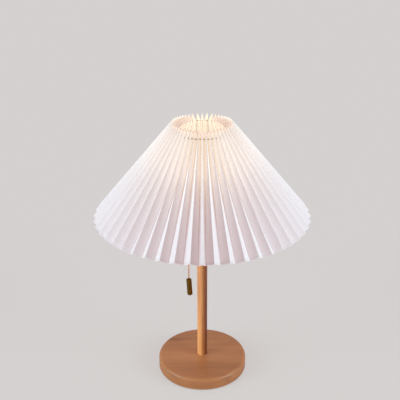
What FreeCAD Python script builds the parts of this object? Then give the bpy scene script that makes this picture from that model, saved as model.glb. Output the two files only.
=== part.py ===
import FreeCAD, Part
import math
import os

# Pleated paper table lamp: a cone of pleated paper on a wire carrier, over a pull-chain
# lampholder at the top of a round wooden stem, which stands on a weighted wooden disc.
# Millimetres, +Z up, origin at the centre of the underside.  The photographed side faces -Y.

# ---------------------------------------------------------------- driving dimensions
# shade: the pleated sheet
rim_d = 390.0               # over the outer folds at the bottom edge
neck_d = 105.0              # over the outer folds at the top edge
shade_h = 172.0             # bottom edge to top edge, at the outer folds
rim_above_stem = 40.0       # bottom edge above the end of the stem
pleats_per_half = 24        # full pleats on each side between the two seams
panel_w = 16.5              # width of one flat panel between two folds
paper_t = 0.3
seam_half_rim = 1.86        # degrees, from a seam's middle to its first inner fold, at the rim
seam_half_neck = 3.6        # the same at the neck
seam_share_rim = 0.35       # how far the seam's middle stands out, in pleat depths, at the rim
seam_share_neck = 1.0
string_inset = 13.0         # drawstring below the neck edge, along the slant
string_d = 1.8
string_clearance = 0.5      # around the string in its holes

# shade carrier
carrier_wire_d = 3.0
carrier_ring_r = 80.0       # middle of the wire
carrier_arms = 4
arm_first_angle = 45.0      # degrees
arm_clear_of_ring = 1.0     # inner end of an arm, outside the clamping ring
arm_overhang = 4.0          # corner of an arm, outside the plate
arm_bend_radius = 8.0
fitter_t = 2.5
fitter_ledge = 6.2          # width of the plate outside the clamping ring
shade_gap = 0.3             # paper to wire

# base
base_d = 170.0
base_h = 23.0               # the wooden disc alone
base_edge_r = 6.0           # rounded upper edge
base_wall = 18.0            # wood around the pocket
pad_t = 2.0
pad_margin = 3.0            # pad edge inside the disc's edge
weight_t = 12.0
weight_recess = 1.0         # weight above the disc's underside
weight_slot_w = 9.0
pocket_clearance = 1.0      # around the weight
nut_room = 4.0              # around the washer, in the weight's hole
screw_count = 3
screw_d = 4.0
screw_head_d = 8.0
screw_head_h = 2.4
screw_bite = 6.0            # depth of the screws in the wood
screw_cross_w = 0.9
screw_cross_depth = 1.2
bush_d = 9.5
bush_bore_d = 7.4
bush_flange_d = 13.0
bush_flange_t = 1.5
bush_above_underside = 0.7  # wood under the flange

# stem and pipe
stem_d = 19.0
stem_top_z = 288.0
stem_seat_depth = 6.0       # how deep the stem stands in the disc
pipe_d = 10.0
pipe_wall = 1.0
pipe_clearance = 0.4        # around the pipe in the wood
pipe_nut_af = 14.0
pipe_nut_h = 4.0
washer_d = 26.0
washer_t = 1.5
pipe_end = 1.5              # thread showing past a nut

# lampholder
check_ring_d = 23.0
check_ring_t = 2.0
cup_floor_t = 2.0
cup_floor_r = 9.0
cup_wall = 0.8
cup_gap = 0.1               # cup to shell
cup_shoulder_h = 9.0
cup_h = 17.0
shell_r = 16.6
shell_wall = 0.6
shell_h = 63.0
shell_above_cup = 10.0      # shell's foot above the cup's underside
shell_bead_reach = 2.2      # how far the bead under the plate stands out
shell_bead_h = 2.0
shell_thread_h = 9.0        # shell above the bead
liner_gap = 0.15
liner_wall = 0.7
liner_recess = 1.0          # liner below the shell's mouth
switch_above_shell = 4.0    # switch block above the shell's foot
switch_h = 30.0
thread_wall = 0.4           # screw shell
thread_floor_t = 0.6
thread_floor_hole_r = 7.5
thread_h = 27.0
thread_gap = 0.4            # screw shell to bulb cap
tongue_w = 5.0              # centre contact: a bent strip
tongue_t = 0.5
tongue_rise = 2.2
tongue_foot_len = 4.0
tongue_slope_len = 3.0
tongue_tip_len = 3.0
tongue_tip_x = 4.0
tongue_bend_shift = 0.3     # upper corners of the bends, behind the lower ones
shade_ring_wall = 5.0
shade_ring_h = 4.0
shade_ring_flutes = 24
flute_r = 1.1
fit_gap = 0.2               # loose fit of turned metal parts
terminal_flat_depth = 2.8
terminal_flat_w = 14.0
terminal_flat_h = 9.0
terminal_rise = 4.6         # terminal screw above the block's foot
terminal_d = 3.0
terminal_len = 4.5
terminal_head_d = 6.0
terminal_head_h = 1.6

# pull switch
chain_rise = 11.0           # chain's way out, above the block's foot
lever_len = 10.5
lever_angle = 21.0          # degrees each side of straight down
lever_w = 3.0
lever_foot_r = 2.5
lever_eye_r = 2.4
lever_t = 1.6
lever_gap = 0.4             # lever to chain, rotor, spring and chamber wall
axle_d = 2.0
axle_gap = 0.05
axle_recess = 2.0           # axle's ends inside the block
rotor_r = 5.5
rotor_t = 3.6
rotor_lobes = 4
rotor_notch_r = 2.2
chamber_half_x = 9.5
chamber_half_y = 7.0
chamber_below = 3.2         # chamber floor below the chain
chamber_above = 6.4         # chamber roof above the axle
spring_wire_d = 0.45
spring_turns = 3
spring_gap = 0.35           # coil to axle
guide_wall = 1.0
guide_bore_r = 2.2
guide_mouth_r = 4.6
guide_mouth_len = 2.4
guide_lip = 0.6
guide_bell = 1.2            # inner flare of the mouth
guide_bell_len = 1.6
guide_reach = 3.9           # mouth outside the shell
guide_hold = 3.5            # guide's inner end inside the block

# ball chain and pull
chain_out = 4.8             # hanging chain outside the guide's mouth
bead_d = 3.2
bead_pitch = 4.23
link_d = 0.9
link_gap = 0.3              # between the strand's end links and the beads they hang on
strand_bead_count = 26
inner_bead_count = 6
inner_tail = 0.55           # link past the inner run's last bead, towards the lip
bend_bead_out = 2.1         # first bead outside the mouth
bend_bead_drop = 0.8
second_bead_in = 0.3        # second bead, inside the line of the chain
pull_w = 7.5                # square bar, one corner towards -Y
pull_len = 34.0
pull_lean = 3.4             # degrees, foot towards the stem
pull_chamfer = 0.5
pull_bead_sink = 1.0        # how deep the last bead sits in the bar's head

# bulb
bulb_foot_gap = 0.3
bulb_r = 30.0
bulb_len = 108.0            # foot to crown
bulb_cap_r = 13.1
bulb_cap_h = 20.0
bulb_cap_wall = 0.4
bulb_foot_r = 4.8
bulb_foot_h = 1.4
bulb_foot_taper = 1.2
bulb_insulator_h = 3.6
bulb_plug_h = 2.0           # insulator inside the cap; the glass stands on it
bulb_glass_t = 0.9
bulb_neck_r = 12.0
bulb_neck_h = 8.0           # straight neck above the cap
bulb_belly_angle = 28.0     # degrees below the widest place, where the neck curve starts
bulb_belly_handle = 16.0    # handles of the neck curve
bulb_neck_handle = 12.0
bulb_stem_r = 4.0
bulb_stem_h = 26.0          # above the cap
bulb_stem_gap = 0.1         # flare to glass
bulb_flare_above_plug = 2.0
bulb_flare_t = 1.5
bulb_flare_h = 9.0
bulb_stem_tip_r = 1.5
bulb_stem_tip_h = 4.0
filament_count = 4
filament_len = 30.0
filament_d = 1.8
filament_lead_d = 0.8
filament_foot_r = 5.0
filament_head_r = 8.0
filament_below_tip = 2.0    # lower ends, below the stem's tip

# ---------------------------------------------------------------- worked-out places
Z = FreeCAD.Vector(0, 0, 1)
ORIGIN = FreeCAD.Vector(0, 0, 0)
rim_r = rim_d / 2
neck_r = neck_d / 2
rim_z = stem_top_z + rim_above_stem
neck_z = rim_z + shade_h
base_r = base_d / 2
disc_z = pad_t
disc_top_z = disc_z + base_h
pocket_r = base_r - base_wall
weight_r = pocket_r - pocket_clearance
weight_hole_r = washer_d / 2 + nut_room
weight_z = disc_z + weight_recess
pocket_roof_z = weight_z + weight_t
screw_circle_r = (weight_r + weight_hole_r) / 2
bush_z = disc_z + bush_above_underside + bush_flange_d / 2
stem_foot_z = disc_top_z - stem_seat_depth
stem_bore_r = pipe_d / 2 + pipe_clearance
washer_z = pocket_roof_z - washer_t
lower_nut_z = washer_z - pipe_nut_h
pipe_foot_z = lower_nut_z - pipe_end
cup_z = stem_top_z + check_ring_t
cup_r = shell_r + cup_gap + cup_wall
upper_nut_z = cup_z + cup_floor_t
pipe_top_z = upper_nut_z + pipe_nut_h + pipe_end
shell_z = cup_z + shell_above_cup
shell_top_z = shell_z + shell_h
shell_bead_r = shell_r + shell_bead_reach
fitter_z = shell_top_z - shell_thread_h
shell_bead_z = fitter_z - shell_bead_h
liner_r = shell_r - shell_wall - liner_gap
switch_r = liner_r - liner_wall - liner_gap
switch_z = shell_z + switch_above_shell
switch_top_z = switch_z + switch_h
terminal_flat_y = switch_r - terminal_flat_depth
terminal_z = switch_z + terminal_rise
chain_z = switch_z + chain_rise
axle_z = chain_z + lever_len
axle_half = switch_r - axle_recess
guide_r = guide_bore_r + guide_wall
guide_end_x = -(shell_r + guide_reach)
guide_start_x = -(switch_r - guide_hold)
chain_x = guide_end_x - chain_out
thread_z = switch_top_z
thread_bore_r = bulb_cap_r + thread_gap
contact_z = thread_z + tongue_rise
bulb_z = contact_z + bulb_foot_gap
shade_ring_z = fitter_z + fitter_t
shade_ring_r = shell_r + fit_gap + shade_ring_wall
fitter_r = shade_ring_r + fitter_ledge
arm_foot_r = shade_ring_r + arm_clear_of_ring
arm_bend_r = fitter_r + arm_overhang
wire_r = carrier_wire_d / 2
lever_y = -(bead_d / 2 + lever_gap + lever_t)
rotor_y = lever_y + lever_t + lever_gap
spring_y = lever_gap - chamber_half_y
cap_z = bulb_z + bulb_foot_h + bulb_insulator_h
cap_top_z = cap_z + bulb_cap_h
glass_foot_z = cap_z + bulb_plug_h
globe_z = bulb_z + bulb_len - bulb_r
stem_tip_z = cap_top_z + bulb_stem_h


# ---------------------------------------------------------------- small helpers
def vec(x, y, z):
    return FreeCAD.Vector(x, y, z)


def cylinder(radius, z0, z1, x=0.0, y=0.0):
    return Part.makeCylinder(radius, z1 - z0, vec(x, y, z0))


def tube(inner_r, outer_r, z0, z1):
    return cylinder(outer_r, z0, z1).cut(cylinder(inner_r, z0 - 1, z1 + 1))


def turned(points):
    """Solid of revolution about Z from a closed outline of (radius, height)."""
    corners = [vec(r, 0, z) for r, z in points]
    outline = Part.makePolygon(corners + corners[:1])
    return Part.Face(outline).revolve(ORIGIN, Z, 360)


def turned_wire(edges):
    return Part.Face(Part.Wire(edges)).revolve(ORIGIN, Z, 360)


def line(a, b):
    return Part.LineSegment(a, b).toShape()


def arc(a, middle, b):
    return Part.Arc(a, middle, b).toShape()


def centred_box(dx, dy, dz, middle):
    return Part.makeBox(dx, dy, dz, middle - vec(dx / 2, dy / 2, dz / 2))


def hexagon(across_flats, z0, z1):
    corner_r = across_flats / math.sqrt(3)
    corners = [vec(corner_r * math.cos(math.radians(60 * k)),
                   corner_r * math.sin(math.radians(60 * k)), z0) for k in range(6)]
    face = Part.Face(Part.makePolygon(corners + corners[:1]))
    return face.extrude(Z * (z1 - z0))


def turned_about_z(shape, degrees):
    copy = shape.copy()
    copy.rotate(ORIGIN, Z, degrees)
    return copy


def around(shape, count, first=0.0):
    """The same solid repeated evenly about Z, kept as separate solids."""
    return Part.makeCompound([turned_about_z(shape, first + 360.0 * k / count) for k in range(count)])


def save(name, shape):
    shape.exportStep("parts/" + name + ".step")
    print(name, len(shape.Solids), "solids,", round(shape.Volume), "mm3")


# ---------------------------------------------------------------- shade geometry
slant = math.hypot(rim_r - neck_r, shade_h)
inward_r = -shade_h / slant                 # unit normal of the cone, inwards and down
inward_z = -(rim_r - neck_r) / slant
pitch_rim = (180.0 - 2 * seam_half_rim) / pleats_per_half
pitch_neck = (180.0 - 2 * seam_half_neck) / pleats_per_half


def pleat_depth(ridge_r, half_pitch_degrees):
    """Depth at which a panel of panel_w spans half a pitch."""
    rise = 1 - math.cos(math.radians(half_pitch_degrees))
    b = -ridge_r * inward_r * rise
    return b + math.sqrt(b * b + panel_w ** 2 - 2 * ridge_r ** 2 * rise)


def fold_offset(ridge_r, half_pitch_degrees):
    """How far the inner face's folds lie from the outer face's, for a sheet paper_t thick."""
    half_pitch = ridge_r * math.sin(math.radians(half_pitch_degrees))
    return paper_t * panel_w / half_pitch


depth_rim = pleat_depth(rim_r, pitch_rim / 2)
depth_neck = pleat_depth(neck_r, pitch_neck / 2)
offset_rim = fold_offset(rim_r, pitch_rim / 2)
offset_neck = fold_offset(neck_r, pitch_neck / 2)


def below_cone(ridge_r, ridge_z, depth):
    """Radius and height of a point that lies this deep under the cone of the outer folds."""
    return ridge_r + inward_r * depth, ridge_z + inward_z * depth


def polar(radius, degrees, z):
    # 0 degrees is the front, -Y
    a = math.radians(degrees)
    return vec(radius * math.sin(a), -radius * math.cos(a), z)


def fold_list():
    """Every fold as angle and depth share at the rim, and the same at the neck."""
    folds = []
    for side in (0, 180):
        folds.append((side, 1 - seam_share_rim, side, 1 - seam_share_neck))
        for k in range(pleats_per_half + 1):
            rim_a = side + seam_half_rim + k * pitch_rim
            neck_a = side + seam_half_neck + k * pitch_neck
            folds.append((rim_a, 1, neck_a, 1))
            if k < pleats_per_half:
                folds.append((rim_a + pitch_rim / 2, 0, neck_a + pitch_neck / 2, 0))
    return folds


def fold_ends(fold, inner):
    rim_a, rim_share, neck_a, neck_share = fold
    low_r, low_z = below_cone(rim_r, rim_z, rim_share * depth_rim + inner * offset_rim)
    high_r, high_z = below_cone(neck_r, neck_z, neck_share * depth_neck + inner * offset_neck)
    return polar(low_r, rim_a, low_z), polar(high_r, neck_a, high_z)


def pleated_sheet():
    folds = fold_list()
    outer = [fold_ends(fold, 0) for fold in folds]
    inner = [fold_ends(fold, 1) for fold in folds]
    faces = []
    for k in range(len(folds)):
        n = (k + 1) % len(folds)
        faces.append(Part.makeRuledSurface(line(*outer[k]), line(*outer[n])))
        faces.append(Part.makeRuledSurface(line(*inner[k]), line(*inner[n])))
        for end in (0, 1):
            faces.append(Part.makeRuledSurface(line(outer[k][end], outer[n][end]),
                                               line(inner[k][end], inner[n][end])))
    shell = Part.Shell(faces)
    shell.sewShape()
    return Part.Solid(shell)


# the drawstring lies half a pleat deep
string_mid = below_cone(neck_r, neck_z, depth_neck / 2)
string_r = string_mid[0] + string_inset * (rim_r - neck_r) / slant
string_z = string_mid[1] - string_inset * shade_h / slant

# inner folds of the sheet's inside face, as one straight line of (radius, height)
crest_low = below_cone(rim_r, rim_z, depth_rim + offset_rim)
crest_high = below_cone(neck_r, neck_z, depth_neck + offset_neck)
crest_slope = (crest_high[1] - crest_low[1]) / (crest_low[0] - crest_high[0])
crest_normal = (-crest_slope / math.hypot(1, crest_slope), -1 / math.hypot(1, crest_slope))
crest_clear = wire_r + shade_gap
crest_touch_r = carrier_ring_r - crest_normal[0] * crest_clear
crest_touch_z = crest_low[1] + (crest_low[0] - crest_touch_r) * crest_slope
carrier_ring_z = crest_touch_z + crest_normal[1] * crest_clear


def make_shade_sheet():
    holes = Part.makeTorus(string_r, string_d / 2 + string_clearance, vec(0, 0, string_z))
    return pleated_sheet().cut(holes)


def make_neck_string():
    return Part.makeTorus(string_r, string_d / 2, vec(0, 0, string_z))


# ---------------------------------------------------------------- shade carrier
def make_carrier_ring():
    return Part.makeTorus(carrier_ring_r, wire_r, vec(0, 0, carrier_ring_z))


def make_carrier_fitter():
    return tube(shell_r + fit_gap, fitter_r, fitter_z, shade_ring_z)


def carrier_arm():
    """A wire that lies on the fitter plate, turns up and ends on the ring."""
    foot = vec(arm_foot_r, 0, shade_ring_z + wire_r)
    corner = vec(arm_bend_r, 0, foot.z)
    head = vec(carrier_ring_r, 0, carrier_ring_z)
    climb = (head - corner).normalize()
    turn = math.acos(climb.x)
    trim = arm_bend_radius * math.tan(turn / 2)
    start = corner - vec(trim, 0, 0)
    end = corner + climb * trim
    middle = start + vec(arm_bend_radius * math.sin(turn / 2), 0,
                         arm_bend_radius * (1 - math.cos(turn / 2)))
    path = Part.Wire([line(foot, start), arc(start, middle, end), line(end, head)])
    section = Part.Wire(Part.makeCircle(wire_r, foot, vec(1, 0, 0)))
    wire = path.makePipeShell([section], True, False)
    return wire.cut(make_carrier_ring())


def make_carrier_arms():
    return around(carrier_arm().Solids[0], carrier_arms, arm_first_angle)


# ---------------------------------------------------------------- base
def screw_places():
    # the first screw is opposite the cord slot
    for k in range(screw_count):
        a = math.radians(270 + 360 * k / screw_count)
        yield screw_circle_r * math.cos(a), screw_circle_r * math.sin(a)


def along_y(radius, y0, y1, z):
    return Part.makeCylinder(radius, y1 - y0, vec(0, y0, z), vec(0, 1, 0))


def make_base_disc():
    top_corner = vec(base_r - base_edge_r, 0, disc_top_z)
    bulge = base_edge_r * (1 - math.cos(math.radians(45)))
    edges = [
        line(vec(0, 0, disc_z), vec(base_r, 0, disc_z)),
        line(vec(base_r, 0, disc_z), vec(base_r, 0, disc_top_z - base_edge_r)),
        arc(vec(base_r, 0, disc_top_z - base_edge_r),
            vec(base_r - bulge, 0, disc_top_z - bulge), top_corner),
        line(top_corner, vec(0, 0, disc_top_z)),
        line(vec(0, 0, disc_top_z), vec(0, 0, disc_z)),
    ]
    disc = turned_wire(edges)
    disc = disc.cut(cylinder(pocket_r, disc_z - 1, pocket_roof_z))
    disc = disc.cut(cylinder(stem_bore_r, pocket_roof_z - 1, disc_top_z + 1))
    disc = disc.cut(cylinder(stem_d / 2, stem_foot_z, disc_top_z + 1))
    disc = disc.cut(along_y(bush_d / 2, 0, base_r, bush_z))
    disc = disc.cut(along_y(bush_flange_d / 2, base_r - bush_flange_t, base_r + 1, bush_z))
    for x, y in screw_places():
        disc = disc.cut(cylinder(screw_d / 2, pocket_roof_z - 1, pocket_roof_z + screw_bite, x, y))
    return disc


def make_base_weight():
    weight = tube(weight_hole_r, weight_r, weight_z, pocket_roof_z)
    slot = Part.makeBox(weight_slot_w, weight_r + 1, weight_t + 2, vec(-weight_slot_w / 2, 0, weight_z - 1))
    weight = weight.cut(slot)
    for x, y in screw_places():
        weight = weight.cut(cylinder(screw_d / 2, weight_z - 1, pocket_roof_z + 1, x, y))
        weight = weight.cut(Part.makeCone(screw_head_d / 2, screw_d / 2, screw_head_h, vec(x, y, weight_z)))
    return weight


def make_weight_screws():
    screws = []
    for x, y in screw_places():
        head = Part.makeCone(screw_head_d / 2, screw_d / 2, screw_head_h, vec(x, y, weight_z))
        shank = cylinder(screw_d / 2, weight_z, pocket_roof_z + screw_bite, x, y)
        screw = head.fuse(shank).removeSplitter()
        for wide, deep in ((screw_d, screw_cross_w), (screw_cross_w, screw_d)):
            corner = vec(x - wide / 2, y - deep / 2, weight_z)
            screw = screw.cut(Part.makeBox(wide, deep, screw_cross_depth, corner))
        screws.append(screw)
    return Part.makeCompound(screws)


def make_base_pad():
    return cylinder(base_r - pad_margin, 0, pad_t)


def make_cord_inlet_bush():
    body = along_y(bush_d / 2, pocket_r, base_r, bush_z)
    flange = along_y(bush_flange_d / 2, base_r - bush_flange_t, base_r, bush_z)
    bush = body.fuse(flange).removeSplitter()
    bush = bush.cut(along_y(bush_bore_d / 2, 0, base_r + 1, bush_z))
    # its inner end follows the round wall of the pocket
    return bush.cut(cylinder(pocket_r, 0, disc_top_z)).Solids[0]


# ---------------------------------------------------------------- stem and pipe
def make_stem():
    return tube(stem_bore_r, stem_d / 2, stem_foot_z, stem_top_z)


def make_lamp_pipe():
    return tube(pipe_d / 2 - pipe_wall, pipe_d / 2, pipe_foot_z, pipe_top_z)


def pipe_nut(z):
    return hexagon(pipe_nut_af, z, z + pipe_nut_h).cut(cylinder(pipe_d / 2, z - 1, z + pipe_nut_h + 1))


def make_lower_washer():
    return tube(pipe_d / 2 + fit_gap, washer_d / 2, washer_z, pocket_roof_z)


def make_stem_check_ring():
    """Turned ring between the stem's end and the lampholder's cup."""
    r = check_ring_d / 2
    half = check_ring_t / 2
    inner_r = pipe_d / 2 + fit_gap
    z0 = stem_top_z
    edges = [
        line(vec(inner_r, 0, z0), vec(r - half, 0, z0)),
        arc(vec(r - half, 0, z0), vec(r, 0, z0 + half), vec(r - half, 0, z0 + check_ring_t)),
        line(vec(r - half, 0, z0 + check_ring_t), vec(inner_r, 0, z0 + check_ring_t)),
        line(vec(inner_r, 0, z0 + check_ring_t), vec(inner_r, 0, z0)),
    ]
    return turned_wire(edges)


# ---------------------------------------------------------------- lampholder
def make_holder_cup():
    """Spun cup that the pipe carries: flat floor, sloping shoulder, straight rim."""
    hole_r = pipe_d / 2 + fit_gap
    floor_z = cup_z + cup_floor_t
    shoulder_z = cup_z + cup_shoulder_h
    return turned([
        (hole_r, cup_z),
        (cup_floor_r, cup_z),
        (cup_r, shoulder_z),
        (cup_r, cup_z + cup_h),
        (cup_r - cup_wall, cup_z + cup_h),
        (cup_r - cup_wall, shoulder_z + cup_wall),
        (cup_floor_r, floor_z),
        (hole_r, floor_z),
    ])


def chain_passage(radius):
    return Part.makeCylinder(radius, -guide_end_x, vec(0, 0, chain_z), vec(-1, 0, 0))


def make_holder_shell():
    inner_r = shell_r - shell_wall
    shell = turned([
        (inner_r, shell_z),
        (shell_r, shell_z),
        (shell_r, shell_bead_z),
        (shell_bead_r, shell_bead_z + shell_bead_h / 2),
        (shell_bead_r, fitter_z),
        (shell_r, fitter_z),
        (shell_r, shell_top_z),
        (inner_r, shell_top_z),
    ])
    return shell.cut(chain_passage(guide_r + fit_gap))


def make_holder_liner():
    liner = tube(liner_r - liner_wall, liner_r, switch_z, shell_top_z - liner_recess)
    return liner.cut(chain_passage(guide_r + fit_gap))


def make_switch_body():
    """Moulded block with the switch chamber, the passage for the chain and two terminal flats."""
    block = cylinder(switch_r, switch_z, switch_top_z)
    floor_z = chain_z - chamber_below
    roof_z = axle_z + chamber_above
    chamber = Part.makeBox(2 * chamber_half_x, 2 * chamber_half_y, roof_z - floor_z,
                           vec(-chamber_half_x, -chamber_half_y, floor_z))
    block = block.cut(chamber)
    block = block.cut(chain_passage(guide_r))
    block = block.cut(along_y(axle_d / 2, -axle_half, axle_half, axle_z))
    for side in (-1, 1):
        outside = (terminal_flat_y + switch_r) / 2 + 1
        flat = centred_box(terminal_flat_w, 2 * (outside - terminal_flat_y), 2 * terminal_flat_h,
                           vec(0, side * outside, switch_z))
        block = block.cut(flat)
        block = block.cut(terminal_hole(side))
    return block


def terminal_hole(side):
    start = vec(0, side * terminal_flat_y, terminal_z)
    return Part.makeCylinder(terminal_d / 2, terminal_len, start, vec(0, -side, 0))


def make_terminal_screws():
    screws = []
    for side in (-1, 1):
        start = vec(0, side * terminal_flat_y, terminal_z)
        head = Part.makeCylinder(terminal_head_d / 2, terminal_head_h, start, vec(0, side, 0))
        slot = centred_box(terminal_head_d, terminal_head_h, terminal_head_h / 2,
                           start + vec(0, side * terminal_head_h, 0))
        screws.append(head.fuse(terminal_hole(side)).removeSplitter().cut(slot))
    return Part.makeCompound(screws)


def make_screw_shell():
    """Bulb socket: its thread is left out, so the bore clears the bulb's cap."""
    top_z = thread_z + thread_h
    outer_r = thread_bore_r + thread_wall
    return turned([
        (thread_floor_hole_r, thread_z),
        (outer_r, thread_z),
        (outer_r, top_z),
        (thread_bore_r, top_z),
        (thread_bore_r, thread_z + thread_floor_t),
        (thread_floor_hole_r, thread_z + thread_floor_t),
    ])


def make_centre_contact():
    """Springy tongue that rises from the block to the bulb's foot."""
    low = thread_z
    high = contact_z
    bend_x = tongue_tip_x - tongue_tip_len
    slope_x = bend_x - tongue_slope_len
    foot_x = slope_x - tongue_foot_len
    outline = [
        (foot_x, low),
        (slope_x, low),
        (bend_x, high - tongue_t),
        (tongue_tip_x, high - tongue_t),
        (tongue_tip_x, high),
        (bend_x - tongue_bend_shift, high),
        (slope_x - tongue_bend_shift, low + tongue_t),
        (foot_x, low + tongue_t),
    ]
    corners = [vec(x, -tongue_w / 2, z) for x, z in outline]
    face = Part.Face(Part.makePolygon(corners + corners[:1]))
    return face.extrude(vec(0, tongue_w, 0))


def make_shade_ring():
    """Threaded ring that clamps the carrier's plate, with grip flutes."""
    top_z = shade_ring_z + shade_ring_h
    ring = tube(shell_r + fit_gap, shade_ring_r, shade_ring_z, top_z)
    flute = cylinder(flute_r, shade_ring_z - 1, top_z + 1, shade_ring_r + flute_r / 2)
    return ring.cut(around(flute, shade_ring_flutes))


# ---------------------------------------------------------------- pull switch
def make_chain_guide():
    """Nozzle with a flared mouth for the chain, along -X."""
    mouth_x = -guide_end_x
    guide = turned([
        (guide_bore_r, -guide_start_x),
        (guide_r, -guide_start_x),
        (guide_r, mouth_x - guide_mouth_len),
        (guide_mouth_r, mouth_x - guide_lip),
        (guide_mouth_r, mouth_x),
        (guide_bore_r + guide_bell, mouth_x),
        (guide_bore_r, mouth_x - guide_bell_len),
    ])
    guide.rotate(ORIGIN, vec(0, 1, 0), -90)
    guide.translate(vec(0, 0, chain_z))
    return guide


def make_switch_axle():
    return along_y(axle_d / 2, -axle_half, axle_half, axle_z)


def make_switch_lever():
    """Arm on the axle; the chain's inner end sits in its foot."""
    arm = Part.makeBox(lever_w, lever_t, lever_len, vec(-lever_w / 2, lever_y, axle_z - lever_len))
    eye = along_y(lever_eye_r, lever_y, lever_y + lever_t, axle_z)
    foot = along_y(lever_foot_r, lever_y, lever_y + lever_t, axle_z - lever_len)
    lever = arm.fuse([eye, foot]).removeSplitter()
    lever = lever.cut(along_y(axle_d / 2 + axle_gap, lever_y - 1, lever_y + lever_t + 1, axle_z))
    lever.rotate(vec(0, 0, axle_z), vec(0, 1, 0), -lever_angle)
    return lever


def make_switch_rotor():
    """Contact drum with lobes."""
    y1 = rotor_y + rotor_t
    rotor = along_y(rotor_r, rotor_y, y1, axle_z)
    notch = along_y(rotor_notch_r, rotor_y - 1, y1 + 1, axle_z)
    notch.translate(vec(rotor_r, 0, 0))
    for k in range(rotor_lobes):
        gap = notch.copy()
        gap.rotate(vec(0, 0, axle_z), vec(0, 1, 0), 45 + 360.0 * k / rotor_lobes)
        rotor = rotor.cut(gap)
    return rotor.cut(along_y(axle_d / 2 + axle_gap, rotor_y - 1, y1 + 1, axle_z))


def make_lever_spring():
    """Coil that turns the lever back, round the axle."""
    mean_r = axle_d / 2 + spring_gap + spring_wire_d / 2
    room = lever_y - lever_gap - spring_y
    step = (room - spring_wire_d) / spring_turns
    helix = Part.makeHelix(step, step * spring_turns, mean_r)
    section = Part.Wire(Part.makeCircle(spring_wire_d / 2, vec(mean_r, 0, 0), vec(0, 1, 0)))
    coil = Part.Wire(helix).makePipeShell([section], True, True)
    coil.rotate(ORIGIN, vec(1, 0, 0), -90)
    coil.translate(vec(0, spring_y + spring_wire_d / 2, axle_z))
    return coil


# ---------------------------------------------------------------- ball chain
def bead_string(count, tail_before, tail_after):
    """Beads on a wire along +Z, first bead at the origin, as one turned solid."""
    bead_r = bead_d / 2
    link_r = link_d / 2
    reach = math.sqrt(bead_r ** 2 - link_r ** 2)
    places = [k * bead_pitch for k in range(count)]
    start_z = -reach - tail_before if tail_before > 0 else -bead_r
    end_z = places[-1] + (reach + tail_after if tail_after > 0 else bead_r)
    edges = string_end(start_z, -reach, -bead_r, tail_before)
    for middle in places:
        edges.append(arc(vec(link_r, 0, middle - reach), vec(bead_r, 0, middle),
                         vec(link_r, 0, middle + reach)))
    for low, high in zip(places, places[1:]):
        edges.append(line(vec(link_r, 0, low + reach), vec(link_r, 0, high - reach)))
    edges += string_end(end_z, places[-1] + reach, places[-1] + bead_r, tail_after)
    edges.append(line(vec(0, 0, end_z), vec(0, 0, start_z)))
    return turned_wire(Part.__sortEdges__(edges))


def string_end(end_z, shoulder_z, pole_z, tail):
    """Outline from the axis to the first bead: a bit of link, or the bead's own cap."""
    link_r = link_d / 2
    if tail > 0:
        return [line(vec(0, 0, end_z), vec(link_r, 0, end_z)),
                line(vec(link_r, 0, end_z), vec(link_r, 0, shoulder_z))]
    bead_r = bead_d / 2
    half_r = link_r / 2
    drop = bead_r - math.sqrt(bead_r ** 2 - half_r ** 2)
    half_z = pole_z - math.copysign(drop, pole_z - shoulder_z)
    return [arc(vec(0, 0, pole_z), vec(half_r, 0, half_z), vec(link_r, 0, shoulder_z))]


# the two beads that lie over the guide's lip, then the one that the strand hangs from
bend_z = chain_z - bend_bead_drop
bend_x = guide_end_x - bend_bead_out
second_x = chain_x + second_bead_in
second_z = bend_z - math.sqrt(bead_pitch ** 2 - (bend_x - second_x) ** 2)
hang_z = second_z - math.sqrt(bead_pitch ** 2 - (second_x - chain_x) ** 2)
pull_bead_z = hang_z - (strand_bead_count + 1) * bead_pitch


def link_between(a, b):
    return Part.makeCylinder(link_d / 2, (b - a).Length, a, b - a)


def make_chain_top():
    places = [vec(bend_x, 0, bend_z), vec(second_x, 0, second_z), vec(chain_x, 0, hang_z)]
    pieces = [Part.makeSphere(bead_d / 2, place) for place in places]
    pieces += [link_between(a, b) for a, b in zip(places, places[1:])]
    return pieces[0].fuse(pieces[1:])


def make_chain_strand():
    reach = math.sqrt((bead_d / 2) ** 2 - (link_d / 2) ** 2)
    tail = bead_pitch - reach - bead_d / 2 - link_gap
    strand = bead_string(strand_bead_count, tail, tail)
    strand.translate(vec(chain_x, 0, pull_bead_z + bead_pitch))
    return strand


def make_inner_chain():
    """Run of the chain inside the holder, from the lever's foot to just inside the mouth."""
    last_x = bend_x + math.sqrt(bead_pitch ** 2 - bend_bead_drop ** 2)
    run = bead_string(inner_bead_count, inner_tail, 0)
    run.rotate(ORIGIN, vec(0, 1, 0), 90)
    run.translate(vec(last_x, 0, chain_z))
    return run


def make_chain_pull():
    """Square bar with softened edges; the chain's last bead is set in its head."""
    seat_r = bead_d / 2
    body = Part.makeBox(pull_w, pull_w, pull_len, vec(-pull_w / 2, -pull_w / 2, -pull_len))
    body = body.makeChamfer(pull_chamfer, body.Edges)
    body.rotate(ORIGIN, Z, 45)
    body.translate(vec(0, 0, pull_bead_sink - seat_r))
    body = body.fuse(Part.makeSphere(seat_r, ORIGIN)).removeSplitter()
    body.rotate(ORIGIN, vec(0, 1, 0), -pull_lean)
    body.translate(vec(chain_x, 0, pull_bead_z))
    return body


# ---------------------------------------------------------------- bulb
def make_bulb_contact():
    return Part.makeCone(bulb_foot_r - bulb_foot_taper, bulb_foot_r, bulb_foot_h, vec(0, 0, bulb_z))


def make_bulb_insulator():
    z0 = bulb_z + bulb_foot_h
    top_r = bulb_cap_r - bulb_cap_wall
    cone = Part.makeCone(bulb_foot_r, top_r, bulb_insulator_h, vec(0, 0, z0))
    return cone.fuse(cylinder(top_r, cap_z, glass_foot_z)).removeSplitter()


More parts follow.
